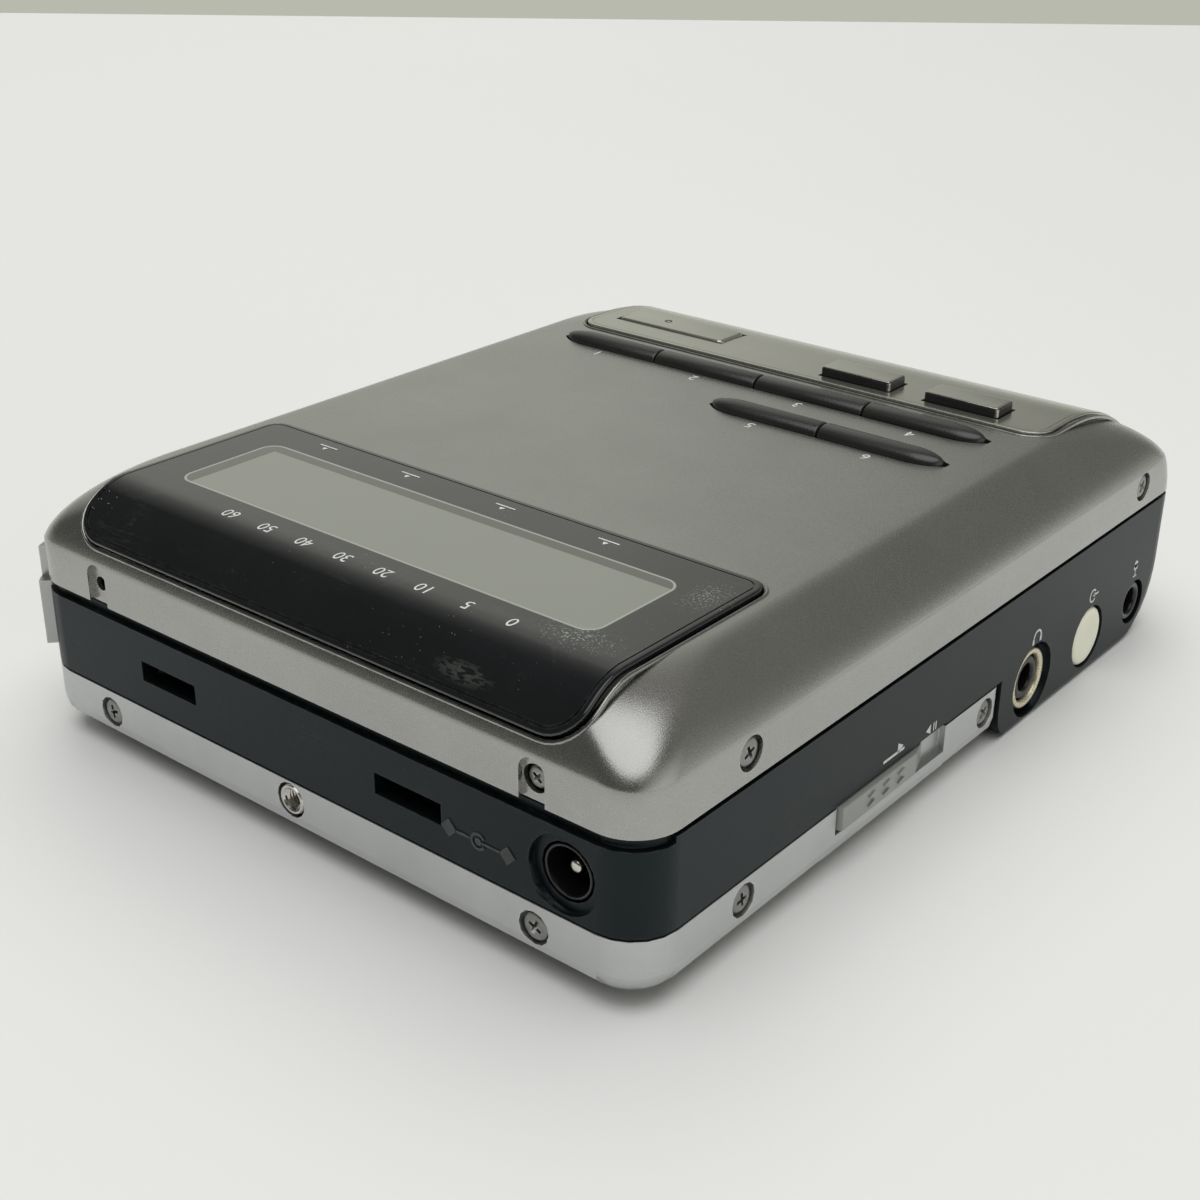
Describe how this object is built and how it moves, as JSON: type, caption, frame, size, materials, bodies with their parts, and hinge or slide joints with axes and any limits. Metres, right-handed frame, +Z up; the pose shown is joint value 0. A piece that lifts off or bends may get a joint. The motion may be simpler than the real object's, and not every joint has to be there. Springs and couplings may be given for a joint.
{
  "type": "portable minidisc recorder",
  "caption": "Pocket disc recorder: satin grey cover with a sloping key panel, glossy display window, black frame with sockets, side disc door and battery lid.",
  "frame": {"origin": "centre of the bounding box on the table plane, directly under the middle of the recorder", "axes": "+Z up from the table; +Y towards the display end, where the power socket is; +X towards the side with the disc door"},
  "size_m": [0.0991, 0.1238, 0.0349],
  "materials": {
    "cover_metal": "satin grey metallic",
    "frame_plastic": "fine satin",
    "tray_metal": "satin silver",
    "window": "polished",
    "lcd_glass": "smooth",
    "circuit_board": "solder mask",
    "black_key": "satin",
    "metal_key": "satin grey metallic",
    "screw_steel": "plated",
    "mech_sheet": "pressed sheet",
    "socket_black": "satin",
    "jack_gold": "pale gold plating",
    "plug_cream": "smooth",
    "objective_glass": "coated",
    "rubber_foot": "matte",
    "battery_sleeve": "shrink sleeve"
  },
  "bodies": {
    "case": {"top_cover": "cover_metal", "mid_frame": "frame_plastic", "bottom_cover": "tray_metal", "display_lens": "window", "lcd_panel": "lcd_glass", "control_board": "circuit_board", "main_board": "circuit_board", "transport_panel": "metal_key", "screw_upper_left_1": "screw_steel", "screw_upper_left_2": "screw_steel", "screw_lower_left_1": "screw_steel", "screw_lower_left_2": "screw_steel", "screw_lower_right_1": "screw_steel", "screw_lower_right_2": "screw_steel", "screw_rear_left": "screw_steel", "screw_rear_right": "screw_steel", "screw_notch": "screw_steel", "door_pin": "screw_steel", "mech_chassis": "mech_sheet", "spindle_motor": "mech_sheet", "guide_rod_left": "screw_steel", "guide_rod_right": "screw_steel", "sled_motor": "mech_sheet", "dc_jack": "socket_black", "dc_pin": "screw_steel", "phones_jack": "socket_black", "phones_ring": "jack_gold", "mic_jack": "socket_black", "line_jack_plug": "plug_cream", "rear_insert": "screw_steel", "battery_pack": "battery_sleeve", "battery_contact_left": "jack_gold", "battery_contact_right": "jack_gold", "foot_left": "rubber_foot", "foot_right": "rubber_foot"},
    "door": {"disc_door": "tray_metal"},
    "holder": {"disc_holder": "mech_sheet"},
    "spin_table": {"turntable": "socket_black"},
    "sled": {"pickup_sled": "socket_black", "objective_lens": "objective_glass", "head_arm": "mech_sheet"},
    "drive_screw": {"lead_screw": "screw_steel"},
    "hold_knob": {"hold_slider": "tray_metal"},
    "lid": {"battery_lid": "frame_plastic"},
    "key_edit_1_body": {"key_edit_1": "black_key"},
    "key_edit_2_body": {"key_edit_2": "black_key"},
    "key_edit_3_body": {"key_edit_3": "black_key"},
    "key_edit_4_body": {"key_edit_4": "black_key"},
    "key_display_1_body": {"key_display_1": "black_key"},
    "key_display_2_body": {"key_display_2": "black_key"},
    "key_record_body": {"key_record": "metal_key"},
    "key_pause_body": {"key_pause": "metal_key"},
    "key_long_body": {"key_long": "metal_key"},
    "key_play_body": {"key_play": "metal_key"},
    "key_stop_body": {"key_stop": "metal_key"},
    "key_back_body": {"key_back": "metal_key"},
    "key_forward_body": {"key_forward": "metal_key"}
  },
  "joints": [
    {"name": "disc_door_hinge", "type": "hinge", "parent": "case", "child": "door", "pos_m": [0.0475, 0.00014, 0.0103], "axis": [0, 1, 0], "range_deg": [0, 80]},
    {"name": "holder_lift", "type": "slide", "parent": "case", "child": "holder", "axis": [0, 0, 1], "range_m": [0, 0.002]},
    {"name": "turntable_spin", "type": "hinge", "parent": "case", "child": "spin_table", "pos_m": [0.0105, 0.00114, 0.0096], "axis": [0, 0, 1], "continuous": true},
    {"name": "sled_slide", "type": "slide", "parent": "case", "child": "sled", "axis": [0, 1, 0], "range_m": [0, 0.015]},
    {"name": "lead_screw_turn", "type": "hinge", "parent": "case", "child": "drive_screw", "pos_m": [0.0285, 0.00814, 0.0086], "axis": [0, 1, 0], "range_deg": [0, 1800]},
    {"name": "hold_slide", "type": "slide", "parent": "case", "child": "hold_knob", "axis": [0, -1, 0], "range_m": [0, 0.0022]},
    {"name": "battery_lid_slide", "type": "slide", "parent": "case", "child": "lid", "axis": [0, -1, 0], "range_m": [0, 0.03]},
    {"name": "key_edit_1_press", "type": "slide", "parent": "case", "child": "key_edit_1_body", "axis": [0, 0, -1], "range_m": [0, 0.0006], "stiffness_N_per_m": 500},
    {"name": "key_edit_2_press", "type": "slide", "parent": "case", "child": "key_edit_2_body", "axis": [0, 0, -1], "range_m": [0, 0.0006], "stiffness_N_per_m": 500},
    {"name": "key_edit_3_press", "type": "slide", "parent": "case", "child": "key_edit_3_body", "axis": [0, 0, -1], "range_m": [0, 0.0006], "stiffness_N_per_m": 500},
    {"name": "key_edit_4_press", "type": "slide", "parent": "case", "child": "key_edit_4_body", "axis": [0, 0, -1], "range_m": [0, 0.0006], "stiffness_N_per_m": 500},
    {"name": "key_display_1_press", "type": "slide", "parent": "case", "child": "key_display_1_body", "axis": [0, 0, -1], "range_m": [0, 0.0006], "stiffness_N_per_m": 500},
    {"name": "key_display_2_press", "type": "slide", "parent": "case", "child": "key_display_2_body", "axis": [0, 0, -1], "range_m": [0, 0.0006], "stiffness_N_per_m": 500},
    {"name": "key_record_press", "type": "slide", "parent": "case", "child": "key_record_body", "axis": [0, 0, -1], "range_m": [0, 0.0006], "stiffness_N_per_m": 500},
    {"name": "key_pause_press", "type": "slide", "parent": "case", "child": "key_pause_body", "axis": [0, 0, -1], "range_m": [0, 0.0006], "stiffness_N_per_m": 500},
    {"name": "key_long_press", "type": "slide", "parent": "case", "child": "key_long_body", "axis": [0, 0, -1], "range_m": [0, 0.0006], "stiffness_N_per_m": 500},
    {"name": "key_play_press", "type": "slide", "parent": "case", "child": "key_play_body", "axis": [0, 0.7514, -0.6598], "range_m": [0, 0.0006], "stiffness_N_per_m": 500},
    {"name": "key_stop_press", "type": "slide", "parent": "case", "child": "key_stop_body", "axis": [0, 0.7514, -0.6598], "range_m": [0, 0.0006], "stiffness_N_per_m": 500},
    {"name": "key_back_press", "type": "slide", "parent": "case", "child": "key_back_body", "axis": [0, 0.7514, -0.6598], "range_m": [0, 0.0006], "stiffness_N_per_m": 500},
    {"name": "key_forward_press", "type": "slide", "parent": "case", "child": "key_forward_body", "axis": [0, 0.7514, -0.6598], "range_m": [0, 0.0006], "stiffness_N_per_m": 500}
  ],
  "couplings": [
    {"joint": "disc_door_hinge", "follows": "holder_lift", "rad_per_m": 698.12},
    {"joint": "lead_screw_turn", "follows": "sled_slide", "rad_per_m": 2094.4}
  ]
}
